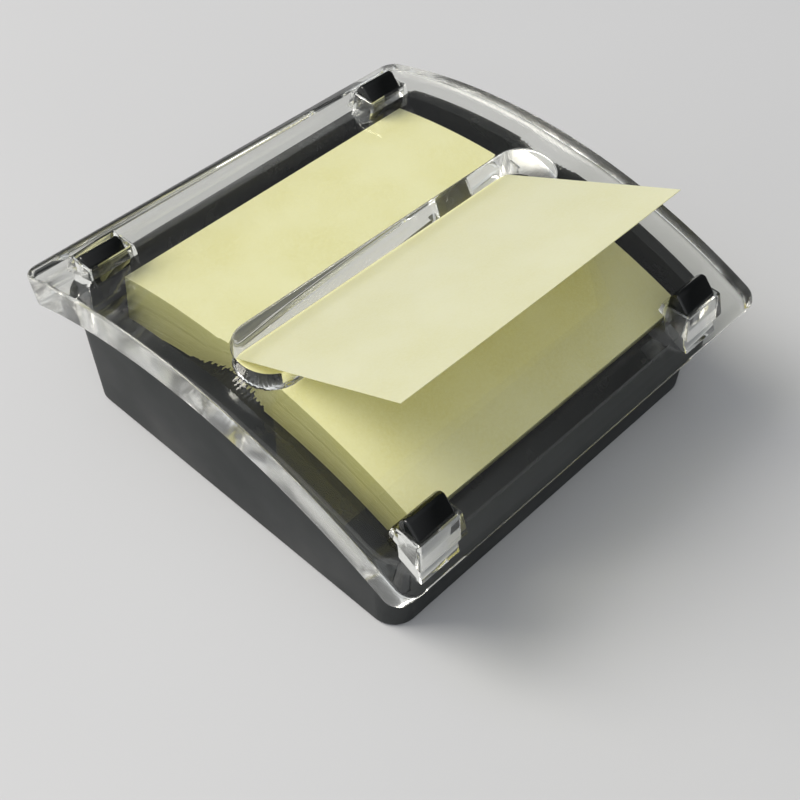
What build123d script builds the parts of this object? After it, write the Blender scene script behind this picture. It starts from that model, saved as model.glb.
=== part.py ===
from build123d import *
import os
from math import asin, cos, degrees, radians, sin, sqrt, tan

# A pop-up note dispenser: a black base with a sunken glossy tray, a pad of square notes in the
# tray, and a thick, clear, arched cover that rests on the pad. Four posts on the base pass through
# collars in the cover and guide it. The top note stands out of a slot in the cover.
#
# Millimetres. +Z is up, the notes come out towards -Y, and X runs along the slot.
# The origin is the centre of the underside, on the surface that the feet stand on.

# ---- The arch: pad, cover and tray are all bent about one axis, parallel to X -----------------
ARCH_Y = 7.6                # the axis, behind the middle of the base
COVER_UNDER_R = 128.7       # radius of the cover's underside
COVER_UNDER_Z = 31.6        # and the height of its highest line

# ---- Notes ------------------------------------------------------------------------------------
NOTE_SIZE = 76.2            # standard square note
PAD_THICK = 7.4
PAD_FORWARD_DEG = 4.65      # the pad's middle, in front of the arch's highest line
PAD_AIR = 0.3               # between the pad and the cover, and between the pad and the tray
LEAF_THICK = 0.25
LEAF_RISE_DEG = 25.3        # how steeply the popped note rises to the front
LEAF_OUT = 42.8             # length of the part that is free to bend, up its slope
LEAF_ROOT = 1.4             # width of the strip at the back of the slot, up its slope
LEAF_BACK_AIR = 0.6         # from the back wall of the slot to the note
LEAF_PAD_AIR = 0.55         # from the top of the pad to the note's lowest edge
LEAF_SPLIT = 0.3            # gap between the strip and the part that bends

# ---- Clear cover ------------------------------------------------------------------------------
COVER_SIDE_OVER = 6.3       # how far the cover stands out over the base's bottom edge, each side
COVER_END_OVER = 8.25       # and at the front and back
COVER_THICK = 6.7
COVER_CORNER_R = 3.5

# ---- Slot and its raised rim ------------------------------------------------------------------
SLOT_Y = -1.65              # the slot's middle
SLOT_END_ROOM = 3.9         # from the notes' sides to the slot's ends
SLOT_WIDTH = 13.3           # its back wall is the edge that notes are pulled and torn against
SLOT_CORNER_R = 6.5

# ---- Base -------------------------------------------------------------------------------------
SIDE_ROOM = 7.1             # from the notes' sides out to the base's bottom edge
END_ROOM = 5.15             # and from a flat pad's front and back
BASE_CORNER_R = 5.0
SIDE_FLARE = 0.071          # how far each wall leans out, in mm per mm of height
FRONT_FLARE = 0.031
BACK_FLARE = 0.073
CORNER_FLARE = 0.055
WALL = 2.0
LIP_DROP = 1.3              # from the cover's underside down to the tray's lip
LIP_THICK = 1.2
LIP_WIDTH = 2.9
TRAY_FLOOR = 2.0
FIT_GAP = 0.1               # between pieces of the base that are fitted into each other
LEDGE_WIDTH = 1.5
LEDGE_THICK = 1.4
BOTTOM_THICK = 2.0
BLOCK_TOP = 40.0            # above the highest point of the base

# ---- Posts and the collars round them -----------------------------------------------------------
POST_WIDTH = 9.2
POST_DEPTH = 4.8
POST_SIDE_IN = 7.4          # from the base's side edges in to the posts' middles
POST_SHIFT_X = -2.4         # the row of posts sits a little left of the base's middle
FRONT_POST_OUT = 1.4        # from the base's front edge out to the front posts' middles
BACK_POST_IN = 3.9          # and from its back edge in to the back posts' middles
POST_RISES = {"front_left": 6.0, "front_right": 6.0, "back_left": 3.2, "back_right": 4.9}
POST_SLOPE_DEG = 42.0       # the front of each post's top slopes down like this
POST_RIDGE = 1.6            # from the post's back face to the middle of its ridge
POST_FLAT = 1.0             # width of the ridge
POST_SHOULDER = 1.2         # how far the top falls from the ridge to the back face
TENON_THICK = 1.8
TENON_DEEP = 6.5
TENON_INSET = 0.7           # from the front wall's outer face to the tenon of a front post
POST_AIR = 0.3              # sliding clearance between a post and its collar
COLLAR_WALL = 0.5
COLLAR_TAPER_X = 0.12       # the collar widens downwards, in mm per mm on each side
COLLAR_TAPER_Y = 0.22
COLLAR_TALL = 7.0
FRONT_COLLAR_RISE = 3.2     # the collars' flat tops, over the cover at the posts' middles
BACK_COLLAR_RISE = 2.9

# ---- Underside --------------------------------------------------------------------------------
FOOT_STAND = 0.5            # the rubber feet stand this far below the base
FOOT_R = 5.0
FOOT_THICK = 1.2
FOOT_INSET = 9.0            # from the bottom edge of the base to a foot's centre
PILLAR_R = 3.2
PILLAR_SIDE_IN = 7.2        # from the base's side edges in to the pillars' middles
PILLAR_END_IN = 23.2        # and from its front and back edges
SCREW_R = 1.25
SCREW_LENGTH = 8.0
HEAD_R = 2.4
HEAD_THICK = 1.2
HEAD_AIR = 0.2
BALLAST_SIDE_AIR = 3.8      # from the pillars to the steel plate
BALLAST_END_ROOM = 15.2     # and from the base's front and back edges
BALLAST_THICK = 5.0
BALLAST_CORNER_R = 4.0

# ---- Worked out -------------------------------------------------------------------------------
COVER_TOP_R = COVER_UNDER_R + COVER_THICK
PAD_TOP_R = COVER_UNDER_R - PAD_AIR
PAD_UNDER_R = PAD_TOP_R - PAD_THICK
PAD_HALF_DEG = degrees(NOTE_SIZE / PAD_TOP_R) / 2
BASE_WIDTH = NOTE_SIZE + 2 * SIDE_ROOM
BASE_DEPTH = NOTE_SIZE + 2 * END_ROOM
COVER_WIDTH = BASE_WIDTH + 2 * COVER_SIDE_OVER
COVER_HALF_DEPTH = BASE_DEPTH / 2 + COVER_END_OVER
COVER_FRONT_DEG = degrees(asin((COVER_HALF_DEPTH + ARCH_Y) / COVER_TOP_R))
COVER_BACK_DEG = degrees(asin((COVER_HALF_DEPTH - ARCH_Y) / COVER_TOP_R))
ARCH_Z = COVER_UNDER_Z - COVER_UNDER_R
TRAY_R = PAD_UNDER_R - PAD_AIR
TRAY_UNDER_R = TRAY_R - TRAY_FLOOR
LIP_R = COVER_UNDER_R - LIP_DROP
LIP_UNDER_R = LIP_R - LIP_THICK
BASE_Z = FOOT_STAND
BOTTOM_TOP = BASE_Z + BOTTOM_THICK
FOOT_TOP = FOOT_THICK
SLOT_LENGTH = NOTE_SIZE + 2 * SLOT_END_ROOM
SLOT_BACK_Y = SLOT_Y + SLOT_WIDTH / 2
POST_X = BASE_WIDTH / 2 - POST_SIDE_IN
FRONT_POST_Y = -BASE_DEPTH / 2 - FRONT_POST_OUT
BACK_POST_Y = BASE_DEPTH / 2 - BACK_POST_IN
POSTS = {
    "front_left": (POST_SHIFT_X - POST_X, FRONT_POST_Y),
    "front_right": (POST_SHIFT_X + POST_X, FRONT_POST_Y),
    "back_left": (POST_SHIFT_X - POST_X, BACK_POST_Y),
    "back_right": (POST_SHIFT_X + POST_X, BACK_POST_Y),
}
FOOT_X = BASE_WIDTH / 2 - FOOT_INSET
FOOT_Y = BASE_DEPTH / 2 - FOOT_INSET
PILLAR_X = BASE_WIDTH / 2 - PILLAR_SIDE_IN
PILLAR_Y = BASE_DEPTH / 2 - PILLAR_END_IN
BALLAST_WIDTH = 2 * (PILLAR_X - PILLAR_R - BALLAST_SIDE_AIR)
BALLAST_DEPTH = BASE_DEPTH - 2 * BALLAST_END_ROOM


def arch_z(radius, y):
    """Height of the arch of this radius at y."""
    return ARCH_Z + sqrt(radius ** 2 - (y - ARCH_Y) ** 2)


def arch_point(radius, angle_deg):
    """Point (y, z) on an arch, with the angle counted from straight up towards the back."""
    angle = radians(angle_deg)
    return (ARCH_Y + radius * sin(angle), ARCH_Z + radius * cos(angle))


def drum(radius, width):
    """Solid cylinder of the arch's radius round its axis."""
    return Pos(0, ARCH_Y, ARCH_Z) * Rot(0, 90, 0) * Cylinder(radius, width)


def arched_slab(inner_r, outer_r, front_deg, back_deg, width):
    """Slab of even thickness, bent about the arch's axis and cut off radially."""
    front = [arch_point(inner_r, -front_deg), arch_point(outer_r, -front_deg)]
    back = [arch_point(outer_r, back_deg), arch_point(inner_r, back_deg)]
    middle = (back_deg - front_deg) / 2
    section = make_face([
        Line((0, *front[0]), (0, *front[1])),
        ThreePointArc((0, *front[1]), (0, *arch_point(outer_r, middle)), (0, *back[0])),
        Line((0, *back[0]), (0, *back[1])),
        ThreePointArc((0, *back[1]), (0, *arch_point(inner_r, middle)), (0, *front[0])),
    ])
    return extrude(section, width / 2, dir=(1, 0, 0), both=True)


def box_between(x_low, x_high, y_low, y_high, z_low, z_high):
    """Box given by its faces."""
    size = (x_high - x_low, y_high - y_low, z_high - z_low)
    centre = ((x_low + x_high) / 2, (y_low + y_high) / 2, (z_low + z_high) / 2)
    return Pos(*centre) * Box(*size)


def base_section(inset, z):
    """Rounded rectangle of the base's outer wall at height z, drawn in by inset."""
    rise = z - BASE_Z
    half_x = BASE_WIDTH / 2 + SIDE_FLARE * rise - inset
    front = -BASE_DEPTH / 2 - FRONT_FLARE * rise + inset
    back = BASE_DEPTH / 2 + BACK_FLARE * rise - inset
    corner = max(BASE_CORNER_R + CORNER_FLARE * rise - inset, 1.0)
    return Pos(0, (front + back) / 2, z) * RectangleRounded(2 * half_x, back - front, corner)


def base_block(inset, z_low, z_high):
    """Solid block that follows the flared outer walls of the base."""
    return loft([base_section(inset, z_low), base_section(inset, z_high)], ruled=True)


def corners(x, y):
    """The four places (+-x, +-y)."""
    return [(side * x, end * y) for side in (-1, 1) for end in (-1, 1)]


def along_x(points, x_low, x_high):
    """Prism along X over a closed outline of (y, z) points."""
    outline = make_face(Polyline([(x_low, y, z) for y, z in points], close=True))
    return extrude(outline, x_high - x_low, dir=(1, 0, 0))


# ---- Posts --------------------------------------------------------------------------------------
def post_low(name):
    """Height where the part of the post that stands on the base begins."""
    if POSTS[name][1] < 0:
        return arch_z(LIP_R, -BASE_DEPTH / 2) - LIP_THICK
    return arch_z(TRAY_R, POSTS[name][1] + POST_DEPTH / 2)


def tenon(name, grow=0.0):
    """The part of a post that is pressed into the base. A grown one cuts its pocket."""
    x, y = POSTS[name]
    low = post_low(name)
    if y < 0:
        y_low = -BASE_DEPTH / 2 - FRONT_FLARE * low + TENON_INSET
    else:
        y_low = y - TENON_THICK / 2
    half_x = POST_WIDTH / 2 + grow
    return box_between(
        x - half_x, x + half_x, y_low - grow, y_low + TENON_THICK + grow,
        low - TENON_DEEP - grow, low + LIP_THICK)


def post(name):
    """Guide post: its top has a ridge along X near the back and slopes down to the front."""
    x, y = POSTS[name]
    low = post_low(name)
    top = arch_z(COVER_TOP_R, y) + POST_RISES[name]
    front = y - POST_DEPTH / 2
    back = y + POST_DEPTH / 2
    ridge = back - POST_RIDGE
    fall = (ridge - front) * tan(radians(POST_SLOPE_DEG))
    profile = [
        (front, low), (back, low), (back, top - POST_SHOULDER), (ridge + POST_FLAT / 2, top),
        (ridge - POST_FLAT / 2, top), (front, top - fall),
    ]
    stem = along_x(profile, x - POST_WIDTH / 2, x + POST_WIDTH / 2)
    return stem + tenon(name)


def post_room(name):
    """What the base leaves free for a post."""
    x, y = POSTS[name]
    half_x = POST_WIDTH / 2 + FIT_GAP
    half_y = POST_DEPTH / 2 + FIT_GAP
    room = box_between(
        x - half_x, x + half_x, y - half_y, y + half_y, post_low(name) - FIT_GAP, BLOCK_TOP)
    return room + tenon(name, FIT_GAP)


# ---- Base ---------------------------------------------------------------------------------------
def make_shell():
    """Matte outer wall, open above and below, with a ledge that the bottom plate is screwed up to."""
    wall = base_block(0, BASE_Z, BLOCK_TOP) & drum(LIP_UNDER_R - FIT_GAP, 2 * BASE_WIDTH)
    ledge_top = BOTTOM_TOP + LEDGE_THICK
    wall -= base_block(WALL, ledge_top, BLOCK_TOP)
    wall -= base_block(WALL + LEDGE_WIDTH, BASE_Z - 1, ledge_top + 1)
    wall -= base_block(WALL, BASE_Z - 1, BOTTOM_TOP)
    for name in POSTS:
        wall -= post_room(name)
    return wall


def make_tray():
    """Glossy tray: a lip over the wall's top, a short wall and an arched floor with pillars."""
    tray = base_block(0, BASE_Z, BLOCK_TOP) & drum(LIP_R, 2 * BASE_WIDTH)
    tray -= drum(TRAY_UNDER_R, 3 * BASE_WIDTH)
    outside = base_block(-1, BASE_Z, BLOCK_TOP) - base_block(WALL + FIT_GAP, BASE_Z, BLOCK_TOP)
    tray -= outside & drum(LIP_UNDER_R, 3 * BASE_WIDTH)
    tray -= base_block(LIP_WIDTH, BASE_Z, BLOCK_TOP) - drum(TRAY_R, 3 * BASE_WIDTH)
    for x, y in corners(PILLAR_X, PILLAR_Y):
        top = arch_z(TRAY_UNDER_R, y) + TRAY_FLOOR / 2
        pillar = Pos(x, y, (BOTTOM_TOP + top) / 2) * Cylinder(PILLAR_R, top - BOTTOM_TOP)
        tray += pillar
        tray -= Pos(x, y, BOTTOM_TOP + SCREW_LENGTH / 2) * Cylinder(SCREW_R, SCREW_LENGTH)
    for name in POSTS:
        tray -= post_room(name)
    return tray


def make_bottom():
    """Bottom plate inside the shell's edge, with pockets for the feet and the screw heads."""
    plate = base_block(WALL + FIT_GAP, BASE_Z, BOTTOM_TOP)
    for x, y in corners(FOOT_X, FOOT_Y):
        plate -= Pos(x, y, FOOT_TOP / 2) * Cylinder(FOOT_R, FOOT_TOP)
    for x, y in corners(PILLAR_X, PILLAR_Y):
        plate -= Pos(x, y, BASE_Z) * Cylinder(HEAD_R + HEAD_AIR, 2 * HEAD_THICK)
        plate -= Pos(x, y, BASE_Z) * Cylinder(SCREW_R + HEAD_AIR, 4 * BOTTOM_THICK)
    return plate


def make_screws():
    """Four pan-head screws that hold the bottom plate to the tray's pillars."""
    screws = []
    for x, y in corners(PILLAR_X, PILLAR_Y):
        head_top = BASE_Z + HEAD_THICK
        head = Pos(x, y, head_top - HEAD_THICK / 2) * Cylinder(HEAD_R, HEAD_THICK)
        shank_top = BOTTOM_TOP + SCREW_LENGTH
        shank = Pos(x, y, (head_top + shank_top) / 2) * Cylinder(SCREW_R, shank_top - head_top)
        screws.append(head + shank)
    return Compound(children=screws)


def make_ballast():
    """Steel plate that gives the base its weight."""
    plan = Pos(0, 0, BOTTOM_TOP) * RectangleRounded(BALLAST_WIDTH, BALLAST_DEPTH, BALLAST_CORNER_R)
    return extrude(plan, BALLAST_THICK)


# ---- Cover --------------------------------------------------------------------------------------
def make_collar(name):
    """Tapered clear block that stands round a post."""
    x, y = POSTS[name]
    top = arch_z(COVER_TOP_R, y) + (FRONT_COLLAR_RISE if y < 0 else BACK_COLLAR_RISE)
    width = POST_WIDTH + 2 * (POST_AIR + COLLAR_WALL)
    depth = POST_DEPTH + 2 * (POST_AIR + COLLAR_WALL)
    upper = Pos(x, y, top) * Rectangle(width, depth)
    lower = Pos(x, y, top - COLLAR_TALL) * Rectangle(
        width + 2 * COLLAR_TAPER_X * COLLAR_TALL, depth + 2 * COLLAR_TAPER_Y * COLLAR_TALL)
    return loft([lower, upper], ruled=True)


def slot_room():
    """The space of the slot, with round corners, right through the cover."""
    outline = Pos(0, SLOT_Y, 0) * RectangleRounded(SLOT_LENGTH, SLOT_WIDTH, SLOT_CORNER_R)
    return extrude(outline, 2 * BLOCK_TOP)


def make_cover():
    """Arched clear plate with collars and the slot."""
    plate = arched_slab(COVER_UNDER_R, COVER_TOP_R, COVER_FRONT_DEG, COVER_BACK_DEG, COVER_WIDTH)
    upright = [edge for edge in plate.edges().filter_by(GeomType.LINE)
               if abs(edge.length - COVER_THICK) < COVER_THICK / 100]
    plate = fillet(upright, COVER_CORNER_R)
    cover = plate - slot_room()
    for name in POSTS:
        cover += make_collar(name)
    for name in POSTS:
        x, y = POSTS[name]
        cover -= Pos(x, y, BLOCK_TOP) * Box(
            POST_WIDTH + 2 * POST_AIR, POST_DEPTH + 2 * POST_AIR, 2 * BLOCK_TOP)
    return cover


# ---- Notes --------------------------------------------------------------------------------------
def make_pad():
    """Pad of square notes, bent to the arch by the cover."""
    front_deg = PAD_HALF_DEG + PAD_FORWARD_DEG
    back_deg = PAD_HALF_DEG - PAD_FORWARD_DEG
    return arched_slab(PAD_UNDER_R, PAD_TOP_R, front_deg, back_deg, NOTE_SIZE)


ROOT_Y = SLOT_BACK_Y - LEAF_BACK_AIR
ROOT_Z = arch_z(PAD_TOP_R, ROOT_Y) + LEAF_PAD_AIR


def up_the_slope(along, above):
    """Point on the popped note, this far up its slope from its lowest edge and above its underside."""
    slope = radians(LEAF_RISE_DEG)
    y = ROOT_Y - along * cos(slope) + above * sin(slope)
    z = ROOT_Z + along * sin(slope) + above * cos(slope)
    return (y, z)


def note_strip(start, end):
    """Strip of the popped note between two distances up its slope."""
    outline = [up_the_slope(start, 0), up_the_slope(end, 0),
               up_the_slope(end, LEAF_THICK), up_the_slope(start, LEAF_THICK)]
    return along_x(outline, -NOTE_SIZE / 2, NOTE_SIZE / 2)


def make_leaf_root():
    """The strip of the popped note that is held at the foot of the slot's back wall."""
    return note_strip(0, LEAF_ROOT)


def make_leaf():
    """The free part of the popped note, straight from the slot up to the front."""
    return note_strip(LEAF_ROOT + LEAF_SPLIT, LEAF_ROOT + LEAF_SPLIT + LEAF_OUT)


# ---- Write --------------------------------------------------------------------------------------
parts = {
    "base_shell": make_shell(),
    "tray": make_tray(),
    "bottom_plate": make_bottom(),
    "base_screws": make_screws(),
    "ballast_weight": make_ballast(),
    "clear_cover": make_cover(),
    "note_pad": make_pad(),
    "leaf_root": make_leaf_root(),
    "popped_leaf": make_leaf(),
}
for name in POSTS:
    parts["guide_post_" + name] = post(name)
for name, (x, y) in POSTS.items():
    foot_x = FOOT_X if x > 0 else -FOOT_X
    foot_y = FOOT_Y if y > 0 else -FOOT_Y
    parts["foot_" + name] = Pos(foot_x, foot_y, FOOT_THICK / 2) * Cylinder(FOOT_R, FOOT_THICK)

os.makedirs("parts", exist_ok=True)
for name, shape in parts.items():
    export_step(shape, f"parts/{name}.step")
print("leaf pivot", up_the_slope(LEAF_ROOT, LEAF_THICK / 2))
print("heights", {name: round(shape.bounding_box().max.Z, 2) for name, shape in parts.items()})
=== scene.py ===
# %% [markdown]
# # A pop-up note dispenser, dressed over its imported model
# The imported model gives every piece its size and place, in metres. This lesson keeps the plain
# black mouldings of that model, rounds them a little, and builds the pieces that carry the looks:
# the thick clear cover, the pad made of single sheets, and the sheet that stands out of the slot.

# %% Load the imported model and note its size
from math import asin, cos, pi, radians, sin, sqrt

import bmesh
import bpy
from mathutils import Matrix, Vector


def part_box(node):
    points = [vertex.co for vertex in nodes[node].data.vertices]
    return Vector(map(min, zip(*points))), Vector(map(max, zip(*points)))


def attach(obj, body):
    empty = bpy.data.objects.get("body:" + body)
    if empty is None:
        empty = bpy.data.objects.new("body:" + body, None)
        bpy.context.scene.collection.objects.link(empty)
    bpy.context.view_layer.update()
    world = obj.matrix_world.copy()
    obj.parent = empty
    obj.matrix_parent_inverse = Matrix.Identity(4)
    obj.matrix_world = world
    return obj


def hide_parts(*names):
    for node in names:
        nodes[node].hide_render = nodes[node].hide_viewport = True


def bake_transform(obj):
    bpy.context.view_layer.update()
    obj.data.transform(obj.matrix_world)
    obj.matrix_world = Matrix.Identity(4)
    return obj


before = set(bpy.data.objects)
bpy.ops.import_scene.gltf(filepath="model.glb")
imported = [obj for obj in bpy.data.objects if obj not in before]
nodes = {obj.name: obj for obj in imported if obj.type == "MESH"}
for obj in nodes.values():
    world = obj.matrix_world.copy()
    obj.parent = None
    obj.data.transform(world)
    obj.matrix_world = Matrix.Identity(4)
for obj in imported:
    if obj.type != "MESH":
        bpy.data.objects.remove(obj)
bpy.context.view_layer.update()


# %% [markdown]
# ## Sizes
# Everything is worked out from the model's nodes and from a few sizes of the real object, in
# millimetres. One function turns them into Blender's metres.

# %% Sizes of the dispenser
MM = 0.001
PAD_AIR = 0.3               # between the pad and the cover
UNDER_APEX = 31.6           # height of the highest line of the cover's underside
UNDER_R = 128.7             # radius of the cover's underside
ARCH_Y = 7.6                # the arch's axis is this far behind the middle
ARCH_Z = UNDER_APEX - UNDER_R
COVER_THICK = 6.7
TOP_R = UNDER_R + COVER_THICK


def low(name):
    """Lowest corner of a node, in millimetres."""
    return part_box(name)[0] / MM


def high(name):
    """Highest corner of a node, in millimetres."""
    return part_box(name)[1] / MM


COVER_LOW = low("clear_cover")
COVER_HIGH = high("clear_cover")
PAD_LOW = low("note_pad")
PAD_HIGH = high("note_pad")
NOTE = PAD_HIGH.x - PAD_LOW.x
print("notes are", round(NOTE, 2), "mm wide, the cover", round(COVER_HIGH.x - COVER_LOW.x, 2), "mm")


def bend(x, angle, radius):
    """Point on the arch, in metres, with the angle counted from straight up towards the back."""
    return Vector((x, ARCH_Y + radius * sin(angle), ARCH_Z + radius * cos(angle))) * MM


def arch_z(radius, y):
    """Height of the arch at y, in millimetres."""
    return ARCH_Z + sqrt(radius ** 2 - (y - ARCH_Y) ** 2)


# %% [markdown]
# ## Camera
# The photograph was taken from the front left, looking down. The camera's place comes from
# fitting the notes' known size and the outlines of the base and the cover.

# %% Place the camera
CAMERA_AZ = -48.671         # degrees round the object, from the front
CAMERA_EL = 47.395          # degrees above the table
CAMERA_ROLL = 2.669         # degrees that the camera is tilted sideways
CAMERA_DISTANCE = 257.25    # mm, from the target
CAMERA_TARGET = Vector((-16.1, -16.25, 20.0))
FOCAL_PX = 1359.2           # focal length in pixels of an 800 pixel wide picture
PICTURE_PX = 800
SHIFT_PX = -1               # the picture's middle is this far off the lens axis
SENSOR_MM = 36.0
NEAREST = 0.01              # metres, where the camera starts to see


def make_camera():
    """Camera at its fitted place, turned by its roll."""
    az, el, roll = radians(CAMERA_AZ), radians(CAMERA_EL), radians(CAMERA_ROLL)
    back = Vector((sin(az) * cos(el), -cos(az) * cos(el), sin(el)))
    right = Vector((cos(az), sin(az), 0))
    up = back.cross(right)
    turned_right = right * cos(roll) + up * sin(roll)
    turned_up = up * cos(roll) - right * sin(roll)
    data = bpy.data.cameras.new("camera")
    data.sensor_width = SENSOR_MM
    data.lens = FOCAL_PX * SENSOR_MM / PICTURE_PX
    data.shift_y = SHIFT_PX / PICTURE_PX
    data.clip_start = NEAREST
    camera = bpy.data.objects.new("camera", data)
    place = (CAMERA_TARGET + back * CAMERA_DISTANCE) * MM
    turn = Matrix((turned_right, turned_up, back)).transposed()
    camera.matrix_world = Matrix.Translation(place) @ turn.to_4x4()
    bpy.context.scene.collection.objects.link(camera)
    bpy.context.scene.camera = camera
    return camera


camera = make_camera()
print("camera at", [round(v, 4) for v in camera.matrix_world.translation])

# %% [markdown]
# ## Helpers for materials
# A colour is written as it looks on a screen, as a hex value, and turned into the linear numbers
# that the renderer needs. One small function adds a node with its settings and links.


# %% Helpers for materials
def colour(hex_value):
    """Linear RGBA from a screen colour such as E5E3B4."""
    channels = [int(hex_value[i:i + 2], 16) / 255 for i in (0, 2, 4)]
    linear = [c / 12.92 if c <= 0.04045 else ((c + 0.055) / 1.055) ** 2.4 for c in channels]
    return (*linear, 1.0)


def add(tree, kind, links=None, values=None, **settings):
    """Add a node, with its settings, its input values and what its inputs are linked to."""
    node = tree.nodes.new(kind)
    for key, value in settings.items():
        setattr(node, key, value)
    for key, value in (values or {}).items():
        node.inputs[key].default_value = value
    for key, source in (links or {}).items():
        tree.links.new(source, node.inputs[key])
    return node


def new_material(name, **values):
    """Material with a Principled shader. Returns the material, its tree and the shader."""
    material = bpy.data.materials.new(name)
    material.use_nodes = True
    tree = material.node_tree
    shader = tree.nodes["Principled BSDF"]
    for key, value in values.items():
        shader.inputs[key.replace("_", " ")].default_value = value
    return material, tree, shader


def object_noise(tree, size_mm, detail, stretch=(1, 1, 1), roughness=0.5):
    """Noise whose blotches are about size_mm across, fixed to the object."""
    place = add(tree, "ShaderNodeTexCoord")
    scaled = add(tree, "ShaderNodeMapping", {"Vector": place.outputs["Object"]},
                 {"Scale": tuple(s / (size_mm * MM) for s in stretch)})
    return add(tree, "ShaderNodeTexNoise", {"Vector": scaled.outputs["Vector"]},
               {"Scale": 1.0, "Detail": detail, "Roughness": roughness})


def between(tree, source, low_in, high_in, low_out, high_out):
    """Map one range of numbers to another."""
    ramp = add(tree, "ShaderNodeMapRange", {"Value": source},
               {"From Min": low_in, "From Max": high_in, "To Min": low_out, "To Max": high_out})
    return ramp.outputs["Result"]


def mix_colours(tree, factor, first, second):
    """Blend from the first colour to the second."""
    node = add(tree, "ShaderNodeMix", {0: factor}, data_type="RGBA")
    node.inputs[6].default_value = colour(first)
    node.inputs[7].default_value = colour(second)
    return node.outputs[2]


def bump(tree, shader, height, strength, depth_mm):
    """Bump of a real depth from a height between 0 and 1."""
    node = add(tree, "ShaderNodeBump", {"Height": height},
               {"Strength": strength, "Distance": depth_mm * MM})
    tree.links.new(node.outputs["Normal"], shader.inputs["Normal"])


# %% [markdown]
# ## Black ABS, spark-eroded mould (the outer wall and the bottom plate)
# The wall looks dark grey-green rather than black, because a fine moulded texture scatters the
# pale surroundings. A 0.35 mm grain in the bump gives that, and the roughness drifts over the wall.


# %% Matte ABS
def matte_abs():
    """Black ABS with a fine moulded grain."""
    material, tree, shader = new_material("matte_black_abs_moulded", IOR=1.54, Specular_IOR_Level=0.42)
    grain = object_noise(tree, 0.35, detail=3)
    cloud = object_noise(tree, 18, detail=4)
    tint = mix_colours(tree, cloud.outputs["Fac"], "0A0F0F", "121819")
    dull = between(tree, cloud.outputs["Fac"], 0.3, 0.7, 0.46, 0.62)
    tree.links.new(tint, shader.inputs["Base Color"])
    tree.links.new(dull, shader.inputs["Roughness"])
    bump(tree, shader, grain.outputs["Fac"], 0.35, 0.02)
    return material


# %% [markdown]
# ## Black polystyrene, polished mould (the tray and the posts)
# It is nearly a mirror, but a tray that pads slide in and out of carries fine rub marks and a
# few smears, so its roughness varies and shallow scratches run across it.


# %% Glossy polystyrene
def glossy_polystyrene(name, rubbed):
    """Black gloss. rubbed is 0 for a new piece and 1 for one that is smeared and scratched."""
    material, tree, shader = new_material(name, IOR=1.5)
    smear = object_noise(tree, 9, detail=5, stretch=(1, 0.5, 1))
    rub = object_noise(tree, 0.9, detail=4, stretch=(0.15, 1, 1))
    tint = mix_colours(tree, smear.outputs["Fac"], "030505", "080B0B")
    dull = between(tree, smear.outputs["Fac"], 0.35, 0.7, 0.07, 0.07 + 0.3 * rubbed)
    tree.links.new(tint, shader.inputs["Base Color"])
    tree.links.new(dull, shader.inputs["Roughness"])
    bump(tree, shader, rub.outputs["Fac"], 0.12 * rubbed + 0.02, 0.01)
    return material


# %% [markdown]
# ## Uncoated note paper
# Pale yellow, quite matte, with a faint fibre cloud. Light passes a little way through a single
# sheet, which is why the popped sheet glows on its shaded side. The upright sides of a stack are
# given painted shade: a darker tint is multiplied into faces that stand upright.


# %% Note paper
def note_paper(name, pale, deep, side_shade, through=0.0, glowing="FFFFFF"):
    """Paper. The fourth colour is painted shade, multiplied into upright faces; through is the share of
    light that a sheet lets by.
    """
    material, tree, shader = new_material(name, Roughness=0.85, IOR=1.5, Specular_IOR_Level=0.25)
    fibre = object_noise(tree, 0.6, detail=5, roughness=0.7)
    cloud = object_noise(tree, 14, detail=3)
    both = add(tree, "ShaderNodeMath", {0: fibre.outputs["Fac"], 1: cloud.outputs["Fac"]},
               operation="MULTIPLY")
    face = mix_colours(tree, between(tree, both.outputs[0], 0.15, 0.4, 0.0, 1.0), pale, deep)
    surface = add(tree, "ShaderNodeNewGeometry")
    turned = add(tree, "ShaderNodeSeparateXYZ", {0: surface.outputs["Normal"]})
    upright = add(tree, "ShaderNodeMath", {0: turned.outputs["Z"]}, operation="ABSOLUTE")
    # painted shade: faces that stand upright, the sides of the stack, get the fourth colour multiplied
    # in
    side_shade_mask = between(tree, upright.outputs[0], 0.3, 0.7, 1.0, 0.0)
    shaded = add(tree, "ShaderNodeMix", {0: side_shade_mask, 6: face}, data_type="RGBA", blend_type="MULTIPLY")
    shaded.inputs[7].default_value = colour(side_shade)
    tree.links.new(shaded.outputs[2], shader.inputs["Base Color"])
    bump(tree, shader, fibre.outputs["Fac"], 0.15, 0.01)
    if through > 0:
        glow = add(tree, "ShaderNodeBsdfTranslucent", values={"Color": colour(glowing)})
        both_sides = add(tree, "ShaderNodeMixShader", {1: shader.outputs[0], 2: glow.outputs[0]},
                         {0: through})
        tree.links.new(both_sides.outputs[0], tree.nodes["Material Output"].inputs["Surface"])
    return material


# %% [markdown]
# ## Clear acrylic, polished
# PMMA bends light with an index of 1.49. The thick plate also has to let lamp light through to
# the pad, so for shadow and diffuse rays it acts as a faintly tinted window. Finger marks dull the
# polish in soft patches, and the two sawn ends of the plate are polished less than its faces.


# %% Clear acrylic
PLATE_END = COVER_HIGH.x * MM
SAWN_FROM = 0.9 * MM        # how far in from the plate's ends the duller polish starts
SAWN_FULL = 0.3 * MM        # and where it is complete


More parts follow.
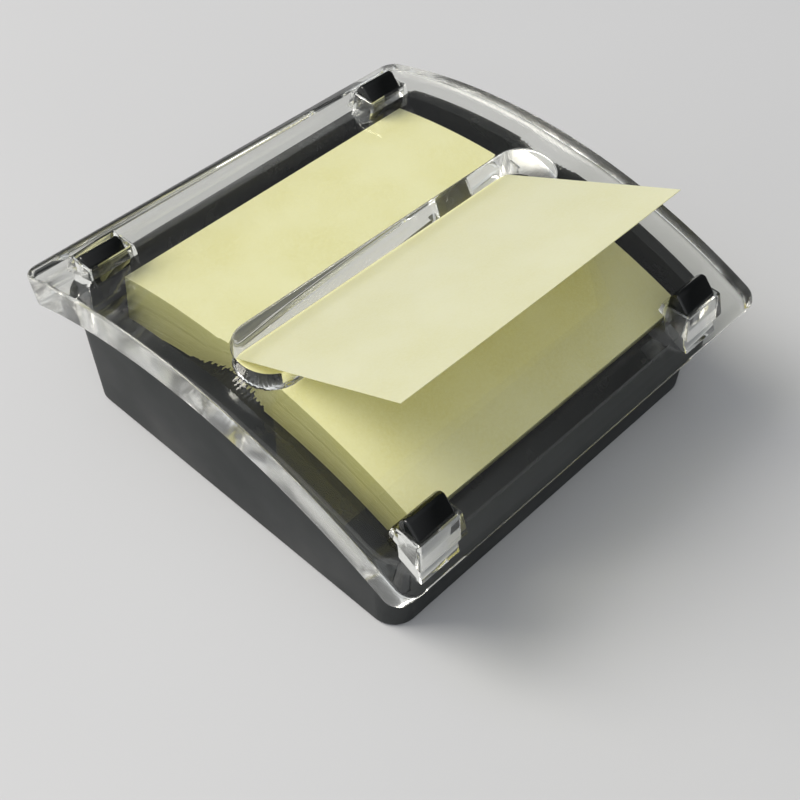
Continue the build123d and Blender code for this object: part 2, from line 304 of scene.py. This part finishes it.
def clear_acrylic():
    """Polished acrylic that shadow and diffuse rays pass straight through."""
    material, tree, shader = new_material("clear_acrylic_polished", IOR=1.49, Transmission_Weight=1.0)
    shader.inputs["Base Color"].default_value = colour("FBFCF8")
    smear = object_noise(tree, 12, detail=5)
    place = add(tree, "ShaderNodeTexCoord")
    across = add(tree, "ShaderNodeSeparateXYZ", {0: place.outputs["Object"]})
    outward = add(tree, "ShaderNodeMath", {0: across.outputs["X"]}, operation="ABSOLUTE")
    sawn = between(tree, outward.outputs[0], PLATE_END - SAWN_FROM, PLATE_END - SAWN_FULL, 0.0, 0.2)
    marked = between(tree, smear.outputs["Fac"], 0.5, 0.8, 0.0, 0.06)
    dulled = add(tree, "ShaderNodeMath", {0: marked, 1: sawn}, operation="MAXIMUM")
    tree.links.new(dulled.outputs[0], shader.inputs["Roughness"])
    window = add(tree, "ShaderNodeBsdfTransparent", values={"Color": colour("F4F4EE")})
    rays = add(tree, "ShaderNodeLightPath")
    passing = add(tree, "ShaderNodeMath",
                  {0: rays.outputs["Is Shadow Ray"], 1: rays.outputs["Is Diffuse Ray"]},
                  operation="MAXIMUM")
    choice = add(tree, "ShaderNodeMixShader",
                 {0: passing.outputs[0], 1: shader.outputs[0], 2: window.outputs[0]})
    tree.links.new(choice.outputs[0], tree.nodes["Material Output"].inputs["Surface"])
    return material


# %% [markdown]
# ## Rubber and steel of the underside


# %% Rubber, zinc and steel
def foot_rubber():
    """Matte moulded rubber."""
    material, tree, shader = new_material("moulded_rubber", Roughness=0.8, IOR=1.52)
    grain = object_noise(tree, 0.5, detail=4)
    tint = mix_colours(tree, grain.outputs["Fac"], "17181A", "26282A")
    tree.links.new(tint, shader.inputs["Base Color"])
    bump(tree, shader, grain.outputs["Fac"], 0.4, 0.03)
    return material


def plated_steel(name, pale, deep, roughness):
    """Steel whose tint and roughness are a little uneven."""
    material, tree, shader = new_material(name, Metallic=1.0)
    cloud = object_noise(tree, 3, detail=4)
    tree.links.new(mix_colours(tree, cloud.outputs["Fac"], pale, deep), shader.inputs["Base Color"])
    dull = between(tree, cloud.outputs["Fac"], 0.3, 0.7, roughness - 0.08, roughness + 0.1)
    tree.links.new(dull, shader.inputs["Roughness"])
    return material


ABS = matte_abs()
TRAY = glossy_polystyrene("glossy_black_polystyrene_rubbed", 1.0)
POST = glossy_polystyrene("glossy_black_polystyrene", 0.2)
# the stack's last colour, BFBF9E, is painted shade on the pad's upright sides; the sheet's white paints
# none
PAD_PAPER = note_paper("yellow_note_paper_stack", "F4F2CC", "ECE8B4", "BFBF9E")
LEAF_PAPER = note_paper("yellow_note_paper_sheet", "E8EBDA", "E2E4CA", "FFFFFF", 0.42, "F2EBA4")
ACRYLIC = clear_acrylic()
RUBBER = foot_rubber()
ZINC = plated_steel("zinc_plated_steel", "C9CBCD", "A9ACB0", 0.32)
STEEL = plated_steel("mild_steel_plate", "A8A8A8", "8A8B8D", 0.45)
print("materials:", [m.name for m in bpy.data.materials])

# %% [markdown]
# ## Rounded copies of the plain mouldings
# A moulded edge is never knife sharp. The outer wall, the tray and each post is a copy of its node,
# merged, with its triangles joined back into flat faces, a small bevel and smooth shading.


# %% Rounded copies
WELD = 0.002                # mm, vertices closer than this are one
FLAT_DEG = 0.3              # facets that differ by less than this are one flat face
EDGE_DEG = 30               # edges sharper than this are rounded
CRISP_DEG = 32              # and shading stays crisp at edges sharper than this
EDGE_SEGMENTS = 3


def paint(mesh, material):
    """Give a mesh one material."""
    mesh.materials.clear()
    mesh.materials.append(material)


def object_from(name, mesh, material):
    """New object at the origin with one material."""
    piece = bpy.data.objects.new(name, mesh)
    bpy.context.scene.collection.objects.link(piece)
    paint(mesh, material)
    return piece


def apply_modifiers(piece):
    """Turn a piece and its modifiers into a plain mesh."""
    graph = bpy.context.evaluated_depsgraph_get()
    mesh = bpy.data.meshes.new_from_object(piece.evaluated_get(graph))
    piece.modifiers.clear()
    piece.data = mesh


def smooth_by_angle(mesh, degrees):
    """Smooth shading, with edges sharper than this angle kept crisp."""
    mesh.polygons.foreach_set("use_smooth", [True] * len(mesh.polygons))
    mesh.set_sharp_from_angle(angle=radians(degrees))


def rounded_copy(node, name, material, body, bevel_mm):
    """Copy of a node with small rounded edges, in the node's place."""
    mesh = nodes[node].data.copy()
    work = bmesh.new()
    work.from_mesh(mesh)
    bmesh.ops.remove_doubles(work, verts=work.verts, dist=WELD * MM)
    bmesh.ops.dissolve_limit(work, angle_limit=radians(FLAT_DEG), verts=work.verts, edges=work.edges,
                             use_dissolve_boundaries=False)
    work.to_mesh(mesh)
    work.free()
    piece = object_from(name, mesh, material)
    edge = piece.modifiers.new("edge", "BEVEL")
    edge.width = bevel_mm * MM
    edge.segments = EDGE_SEGMENTS
    edge.limit_method = "ANGLE"
    edge.angle_limit = radians(EDGE_DEG)
    edge.use_clamp_overlap = True
    apply_modifiers(piece)
    smooth_by_angle(piece.data, CRISP_DEG)
    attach(piece, body)
    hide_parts(node)
    print(name, "has", len(piece.data.polygons), "faces")


CORNERS = ["front_left", "front_right", "back_left", "back_right"]
rounded_copy("base_shell", "outer_wall", ABS, "base", 0.3)
rounded_copy("tray", "sunken_tray", TRAY, "base", 0.2)
for corner in CORNERS:
    rounded_copy("guide_post_" + corner, "post_" + corner, POST, "base", 0.45)
    paint(nodes["foot_" + corner].data, RUBBER)
for node, material in {"bottom_plate": ABS, "base_screws": ZINC, "ballast_weight": STEEL}.items():
    paint(nodes[node].data, material)

# %% [markdown]
# ## The pad: single sheets, stacked and bent by Geometry Nodes
# A pad is a stack of sheets that never lie exactly flush, and its sides show them as fine lines.
# The tree stacks flat sheets, shifts each by a random hair, and then bends the stack to the arch,
# so the number of sheets and the shift stay easy to change. Each sheet takes up 0.09 mm of the pad,
# which is close to real paper.

# %% A Geometry Nodes tree for a bent stack of sheets
SHEETS = 80
SHEET_SHIFT = 0.015         # mm, the most that a sheet lies out of line
SHEET_SHARE = 0.94          # of each sheet's room is paper, the rest is air
SHEET_ROWS = 40             # points along a sheet, so that it bends smoothly
SHIFT_SEED = 7
PAD_THICK = 7.4


def stack_tree():
    """Named inputs: size, thickness, sheets, shift, radius of the top, angle of the middle."""
    tree = bpy.data.node_groups.new("bent_stack", "GeometryNodeTree")
    made = {}
    for name, kind in (("Size", "NodeSocketFloat"), ("Thickness", "NodeSocketFloat"),
                       ("Sheets", "NodeSocketInt"), ("Shift", "NodeSocketFloat"),
                       ("Top Radius", "NodeSocketFloat"), ("Middle Angle", "NodeSocketFloat"),
                       ("Axis Y", "NodeSocketFloat"), ("Axis Z", "NodeSocketFloat"),
                       ("Material", "NodeSocketMaterial")):
        made[name] = tree.interface.new_socket(name=name, in_out="INPUT", socket_type=kind).identifier
    tree.interface.new_socket(name="Geometry", in_out="OUTPUT", socket_type="NodeSocketGeometry")
    given = add(tree, "NodeGroupInput").outputs

    def sums(operation, first, second=None):
        """Output of a math node. Each of its inputs is a number or another node's output."""
        node = add(tree, "ShaderNodeMath", operation=operation)
        for index, value in enumerate((first, second)):
            if isinstance(value, (int, float)):
                node.inputs[index].default_value = value
            elif value is not None:
                tree.links.new(value, node.inputs[index])
        return node.outputs[0]

    pitch = sums("DIVIDE", given["Thickness"], given["Sheets"])
    sheet_size = add(tree, "ShaderNodeCombineXYZ",
                     {"X": given["Size"], "Y": given["Size"], "Z": sums("MULTIPLY", pitch, SHEET_SHARE)})
    sheet = add(tree, "GeometryNodeMeshCube", {"Size": sheet_size.outputs[0]},
                {"Vertices X": 2, "Vertices Y": SHEET_ROWS, "Vertices Z": 2})
    step = add(tree, "ShaderNodeCombineXYZ", {"Z": pitch})
    line = add(tree, "GeometryNodeMeshLine", {"Count": given["Sheets"], "Offset": step.outputs[0]})
    most = add(tree, "ShaderNodeCombineXYZ", {"X": given["Shift"], "Y": given["Shift"]})
    least = add(tree, "ShaderNodeVectorMath", {0: most.outputs[0]}, {"Scale": -1.0}, operation="SCALE")
    jitter = add(tree, "FunctionNodeRandomValue", {"Min": least.outputs[0], "Max": most.outputs[0]},
                 {"Seed": SHIFT_SEED}, data_type="FLOAT_VECTOR")
    shifted = add(tree, "GeometryNodeSetPosition",
                  {"Geometry": line.outputs[0], "Offset": jitter.outputs[0]})
    stacked = add(tree, "GeometryNodeInstanceOnPoints",
                  {"Points": shifted.outputs[0], "Instance": sheet.outputs[0]})
    real = add(tree, "GeometryNodeRealizeInstances", {"Geometry": stacked.outputs[0]})
    place = add(tree, "GeometryNodeInputPosition")
    flat = add(tree, "ShaderNodeSeparateXYZ", {0: place.outputs[0]}).outputs
    lowest = sums("SUBTRACT", sums("SUBTRACT", given["Top Radius"], given["Thickness"]),
                  sums("MULTIPLY", pitch, -0.5))
    radius = sums("ADD", lowest, flat["Z"])
    angle = sums("ADD", sums("DIVIDE", flat["Y"], given["Top Radius"]), given["Middle Angle"])
    bent = add(tree, "ShaderNodeCombineXYZ", {
        "X": flat["X"],
        "Y": sums("ADD", given["Axis Y"], sums("MULTIPLY", radius, sums("SINE", angle))),
        "Z": sums("ADD", given["Axis Z"], sums("MULTIPLY", radius, sums("COSINE", angle)))})
    curved = add(tree, "GeometryNodeSetPosition",
                 {"Geometry": real.outputs[0], "Position": bent.outputs[0]})
    painted = add(tree, "GeometryNodeSetMaterial",
                  {"Geometry": curved.outputs[0], "Material": given["Material"]})
    add(tree, "NodeGroupOutput", {"Geometry": painted.outputs[0]})
    return tree, made


def make_pad():
    """The pad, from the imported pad's own size and place."""
    top_r = UNDER_R - PAD_AIR
    front = asin((ARCH_Y - PAD_LOW.y) / top_r)
    half = NOTE / top_r / 2
    tree, sockets = stack_tree()
    piece = bpy.data.objects.new("pad_of_sheets", bpy.data.meshes.new("pad_of_sheets"))
    bpy.context.scene.collection.objects.link(piece)
    stack = piece.modifiers.new("stack", "NODES")
    stack.node_group = tree
    for name, value in {"Size": NOTE * MM, "Thickness": PAD_THICK * MM, "Sheets": SHEETS,
                        "Shift": SHEET_SHIFT * MM, "Top Radius": top_r * MM,
                        "Middle Angle": half - front, "Axis Y": ARCH_Y * MM, "Axis Z": ARCH_Z * MM,
                        "Material": PAD_PAPER}.items():
        stack[sockets[name]] = value
    apply_modifiers(piece)
    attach(piece, "notes")
    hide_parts("note_pad")
    return piece


pad = make_pad()
print("the pad has", len(pad.data.polygons), "faces and", SHEETS, "sheets")

# %% [markdown]
# ## The popped sheet
# One sheet comes out at the foot of the slot's back wall and rises nearly straight to the front.
# It is one mesh: a straight grid rising at a fixed angle, whose far edge hangs through a little in its
# middle.

# %% Popped sheet
LEAF_RISE = radians(25.3)
LEAF_PAPER_MM = 0.14        # drawn a little thicker than paper, so that its edge catches light
LEAF_TRIM = 0.1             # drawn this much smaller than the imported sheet
LEAF_MIDDLE = 0.125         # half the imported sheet's thickness
LEAF_SAG = 0.3              # how far the free edge hangs through in its middle
LEAF_GRID = (40, 90)        # faces across the sheet and along it
LEAF_CRISP_DEG = 40
leaf_low = Vector((0, high("leaf_root").y, low("leaf_root").z))
leaf_whole = (high("leaf_root").y - low("popped_leaf").y) / cos(LEAF_RISE) - LEAF_TRIM


def leaf_point(along):
    """Point (y, z) of the sheet's middle, this far up from its lowest edge."""
    return (leaf_low.y - LEAF_TRIM - along * cos(LEAF_RISE) + LEAF_MIDDLE * sin(LEAF_RISE),
            leaf_low.z + along * sin(LEAF_RISE) + LEAF_MIDDLE * cos(LEAF_RISE))


def make_leaf():
    """The sheet as a fine grid, given its thickness by a Solidify modifier."""
    across, along = LEAF_GRID
    verts, faces = [], []
    for row in range(along + 1):
        distance = leaf_whole * row / along
        y, z = leaf_point(distance)
        for column in range(across + 1):
            x = (NOTE - LEAF_TRIM) * (column / across - 0.5)
            sag = LEAF_SAG * (distance / leaf_whole) ** 2 * sin(pi * column / across)
            verts.append(Vector((x, y, z - sag)) * MM)
    for row in range(along):
        for column in range(across):
            first = row * (across + 1) + column
            faces.append((first, first + 1, first + across + 2, first + across + 1))
    mesh = bpy.data.meshes.new("popped_sheet")
    mesh.from_pydata(verts, [], faces)
    piece = object_from("popped_sheet", mesh, LEAF_PAPER)
    thick = piece.modifiers.new("thick", "SOLIDIFY")
    thick.thickness = LEAF_PAPER_MM * MM
    thick.offset = 0
    apply_modifiers(piece)
    smooth_by_angle(piece.data, LEAF_CRISP_DEG)
    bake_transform(piece)
    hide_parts("popped_leaf", "leaf_root")
    return piece


leaf = make_leaf()
print("the popped sheet has", len(leaf.data.polygons), "faces")

# %% [markdown]
# ## The clear cover
# Thick clear acrylic shows every facet twice, once as a reflection and once as a refraction, so
# the cover is built from fine, smooth meshes and joined with exact booleans: an arched slab with a
# polished bevel, a slot with round corners, and four tapered collars with holes for the posts.

# %% Helpers for closed shapes
def closed_mesh(name, rings, cap_pairs):
    """Closed solid from rings of points, one above the other. cap_pairs joins each end across."""
    mesh = bmesh.new()
    rows = [[mesh.verts.new(point) for point in ring] for ring in rings]
    count = len(rows[0])
    for lower, upper in zip(rows, rows[1:]):
        for index in range(count):
            after = (index + 1) % count
            mesh.faces.new((lower[index], lower[after], upper[after], upper[index]))
    for row in (rows[0], rows[-1]):
        for (a, b), (c, d) in zip(cap_pairs, cap_pairs[1:]):
            mesh.faces.new((row[a], row[c], row[d], row[b]))
    bmesh.ops.recalc_face_normals(mesh, faces=mesh.faces)
    data = bpy.data.meshes.new(name)
    mesh.to_mesh(data)
    mesh.free()
    piece = bpy.data.objects.new(name, data)
    bpy.context.scene.collection.objects.link(piece)
    return piece


def combine(target, other, operation):
    """Exact boolean of two closed meshes. The other one is used up."""
    step = target.modifiers.new("step", "BOOLEAN")
    step.operation = operation
    step.solver = "EXACT"
    step.object = other
    apply_modifiers(target)
    bpy.data.objects.remove(other)


def rounded_chain(half_x, y_low, y_high, radius, steps, straight):
    """Left side of a rounded rectangle, from front to back, as (x, y) points."""
    points = []
    for index in range(steps + 1):
        turn = pi / 2 * (1 - index / steps)
        points.append((-half_x + radius - radius * cos(turn), y_low + radius - radius * sin(turn)))
    for index in range(1, straight):
        share = index / straight
        points.append((-half_x, y_low + radius + (y_high - y_low - 2 * radius) * share))
    for index in range(steps + 1):
        turn = pi / 2 * index / steps
        points.append((-half_x + radius - radius * cos(turn), y_high - radius + radius * sin(turn)))
    return points


def ring_and_pairs(chain):
    """Closed ring from its left side, and the pairs of indexes that face each other across it."""
    count = len(chain)
    ring = chain + [(-x, y) for x, y in reversed(chain)]
    return ring, [(index, 2 * count - 1 - index) for index in range(count)]


# %% Arched slab
BEVEL = 0.55                # quarter round along the slab's edges
BEVEL_STEPS = 4
COVER_CORNER = 3.5
COVER_CORNER_STEPS = 8
SLAB_ROWS = 96


def bevel_levels():
    """Heights and insets of the slab's edge with a quarter round at top and bottom."""
    lower = []
    for step in range(BEVEL_STEPS, -1, -1):
        turn = pi / 2 * step / BEVEL_STEPS
        lower.append((BEVEL - BEVEL * sin(turn), BEVEL - BEVEL * cos(turn)))
    return lower + [(COVER_THICK - height, inset) for height, inset in reversed(lower)]


def make_slab():
    """The arched plate with rounded corners, before anything is cut out of it."""
    mid_r = (UNDER_R + TOP_R) / 2
    half_depth = COVER_HIGH.y
    front = -asin((half_depth + ARCH_Y) / TOP_R) * mid_r
    back = asin((half_depth - ARCH_Y) / TOP_R) * mid_r
    rings = []
    for height, inset in bevel_levels():
        chain = rounded_chain(COVER_HIGH.x - inset, front + inset, back - inset, COVER_CORNER - inset,
                              COVER_CORNER_STEPS, SLAB_ROWS)
        ring, pairs = ring_and_pairs(chain)
        rings.append([bend(x, along / mid_r, UNDER_R + height) for x, along in ring])
    return closed_mesh("clear_cover_moulded", rings, pairs)


cover = make_slab()
print("the slab has", len(cover.data.polygons), "faces")

# %% Slot
SLOT_END_ROOM = 3.9         # from the notes' sides to the slot's ends
SLOT_HALF = NOTE / 2 + SLOT_END_ROOM
SLOT_FRONT = -8.3
SLOT_BACK = 5.0
SLOT_CORNER = 6.5
SLOT_CORNER_STEPS = 24
SLOT_ROWS = 6
SLOT_SOFT = 0.35            # rounding of the slot's edges, above and below
SLOT_SOFT_STEPS = 5
CUT_PAST = 1.0              # the cutter stands out of the slab this far


def slot_cutter():
    """Prism through the slab that flares out to a small rounding where it meets each surface."""
    round_off = []
    for step in range(SLOT_SOFT_STEPS + 1):
        turn = pi / 2 * step / SLOT_SOFT_STEPS
        round_off.append((SLOT_SOFT * (1 - cos(turn)), SLOT_SOFT * (1 - sin(turn))))
    profile = [(UNDER_R - CUT_PAST, SLOT_SOFT)]
    profile += [(UNDER_R + rise, wider) for rise, wider in round_off]
    profile += [(TOP_R - rise, wider) for rise, wider in reversed(round_off)]
    profile.append((TOP_R + CUT_PAST, SLOT_SOFT))
    rings = []
    for radius, wider in profile:
        chain = rounded_chain(SLOT_HALF + wider, SLOT_FRONT - wider, SLOT_BACK + wider,
                              SLOT_CORNER + wider, SLOT_CORNER_STEPS, SLOT_ROWS)
        ring, pairs = ring_and_pairs(chain)
        rings.append([Vector((x, y, arch_z(radius, y))) * MM for x, y in ring])
    return closed_mesh("slot_cutter", rings, pairs)


combine(cover, slot_cutter(), "DIFFERENCE")
print("with its slot the cover has", len(cover.data.polygons), "faces")

# %% Collars and post holes
POST_AIR = 0.3              # between a post and its hole
POST_HALF_DEPTH = 2.4
COLLAR_WALL = 0.5
COLLAR_TALL = 7.0
COLLAR_TAPER = (0.12, 0.22) # the sides lean out this much for each mm down, along X and along Y
COLLAR_RISE = {"front": 3.2, "back": 2.9}
COLLAR_SOFT = 0.3           # the rounding at the top takes up this height
COLLAR_EDGE = ((0.3, 0.02), (0.0, 0.12))    # shares of that height from the top, and the inset
COLLAR_CORNER = 0.45
HOLE_CORNER = 0.35
HOLE_FROM, HOLE_TO = 10, 60 # heights between which the holes are cut
CORNER_STEPS, CORNER_ROWS = 4, 2
COVER_CRISP_DEG = 30


def block(name, x, y, levels, corner):
    """Block with rounded upright edges. levels are (z, half width, half depth)."""
    rings = []
    for z, half_x, half_y in levels:
        ring, pairs = ring_and_pairs(
            rounded_chain(half_x, -half_y, half_y, corner, CORNER_STEPS, CORNER_ROWS))
        rings.append([Vector((x + dx, y + dy, z)) * MM for dx, dy in ring])
    return closed_mesh(name, rings, pairs)


for corner in CORNERS:
    post_low, post_high = low("guide_post_" + corner), high("guide_post_" + corner)
    row = corner.split("_")[0]
    x = (post_low.x + post_high.x) / 2
    y = (post_low.y + post_high.y) / 2
    if row == "front":
        y = post_low.y + POST_HALF_DEPTH
    hole_x = (post_high.x - post_low.x) / 2 + POST_AIR
    hole_y = POST_HALF_DEPTH + POST_AIR
    wide, deep = hole_x + COLLAR_WALL, hole_y + COLLAR_WALL
    top = arch_z(TOP_R, y) + COLLAR_RISE[row]
    levels = []
    for below in (COLLAR_TALL, COLLAR_SOFT):
        levels.append((top - below, wide + COLLAR_TAPER[0] * below, deep + COLLAR_TAPER[1] * below))
    for share, inset in COLLAR_EDGE:
        levels.append((top - COLLAR_SOFT * share, wide - inset, deep - inset))
    combine(cover, block("collar", x, y, levels, COLLAR_CORNER), "UNION")
    hole = [(HOLE_FROM, hole_x, hole_y), (HOLE_TO, hole_x, hole_y)]
    combine(cover, block("hole", x, y, hole, HOLE_CORNER), "DIFFERENCE")
paint(cover.data, ACRYLIC)
smooth_by_angle(cover.data, COVER_CRISP_DEG)
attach(cover, "cover")
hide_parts("clear_cover")
print("the finished cover has", len(cover.data.polygons), "faces")

# %% [markdown]
# ## Table and light
# A pale table, a big soft lamp from behind on the left, as from a window, and a room that is dim
# on the right, where the black gloss mirrors it. The soft shadow falls to the front. Light runs
# far inside the clear plate, from face to face, so it needs many bounces.

# %% Table
TABLE_HALF = 3.0            # metres


def make_table():
    """Flat table top under the feet. It is part of the stage, not of the object."""
    material, tree, shader = new_material("pale_table_laminate", Roughness=0.6)
    cloud = object_noise(tree, 160, detail=2)
    tint = mix_colours(tree, cloud.outputs["Fac"], "C8C9CB", "C0C1C3")
    tree.links.new(tint, shader.inputs["Base Color"])
    mesh = bpy.data.meshes.new("table")
    corners = [(-1, -1), (1, -1), (1, 1), (-1, 1)]
    mesh.from_pydata([(TABLE_HALF * x, TABLE_HALF * y, 0) for x, y in corners], [], [(0, 1, 2, 3)])
    table = object_from("table", mesh, material)


make_table()

# %% Light
ROOM_DIM = 0.12
ROOM_BRIGHT = 1.3
ROOM_TOWARDS = (-0.9, -0.1, 0.4)    # the brightest part of the room
ROOM_SIDES = (-0.3, 1.0)    # how far a direction points that way, where the room is dim and bright
LAMP_WATTS = 52.0
LAMP_SIZE = 1.3
LAMP_FROM = Vector((-0.95, 1.35, 1.72))
PLATE_BOUNCES = 24


def make_light():
    """The room as a gradient from dim to bright, and the window as a big soft lamp."""
    world = bpy.data.worlds.new("room")
    world.use_nodes = True
    tree = world.node_tree
    room = tree.nodes["Background"]
    room.inputs["Color"].default_value = colour("EEF0F3")
    place = add(tree, "ShaderNodeTexCoord")
    side = add(tree, "ShaderNodeVectorMath", {0: place.outputs["Generated"]}, {1: ROOM_TOWARDS},
               operation="DOT_PRODUCT")
    level = between(tree, side.outputs["Value"], *ROOM_SIDES, ROOM_DIM, ROOM_BRIGHT)
    tree.links.new(level, room.inputs["Strength"])
    bpy.context.scene.world = world
    data = bpy.data.lights.new("window", "AREA")
    data.shape = "SQUARE"
    data.size = LAMP_SIZE
    data.energy = LAMP_WATTS
    data.color = colour("FFFAF2")[:3]
    lamp = bpy.data.objects.new("window", data)
    bpy.context.scene.collection.objects.link(lamp)
    lamp.location = LAMP_FROM
    lamp.rotation_euler = (-LAMP_FROM).to_track_quat("-Z", "Y").to_euler()


make_light()
for kind in ("max", "glossy", "transmission"):
    setattr(bpy.context.scene.cycles, kind + "_bounces", PLATE_BOUNCES)
bpy.context.scene.view_settings.view_transform = "Standard"
print("room", ROOM_DIM, "to", ROOM_BRIGHT, "lamp", LAMP_WATTS, "W")
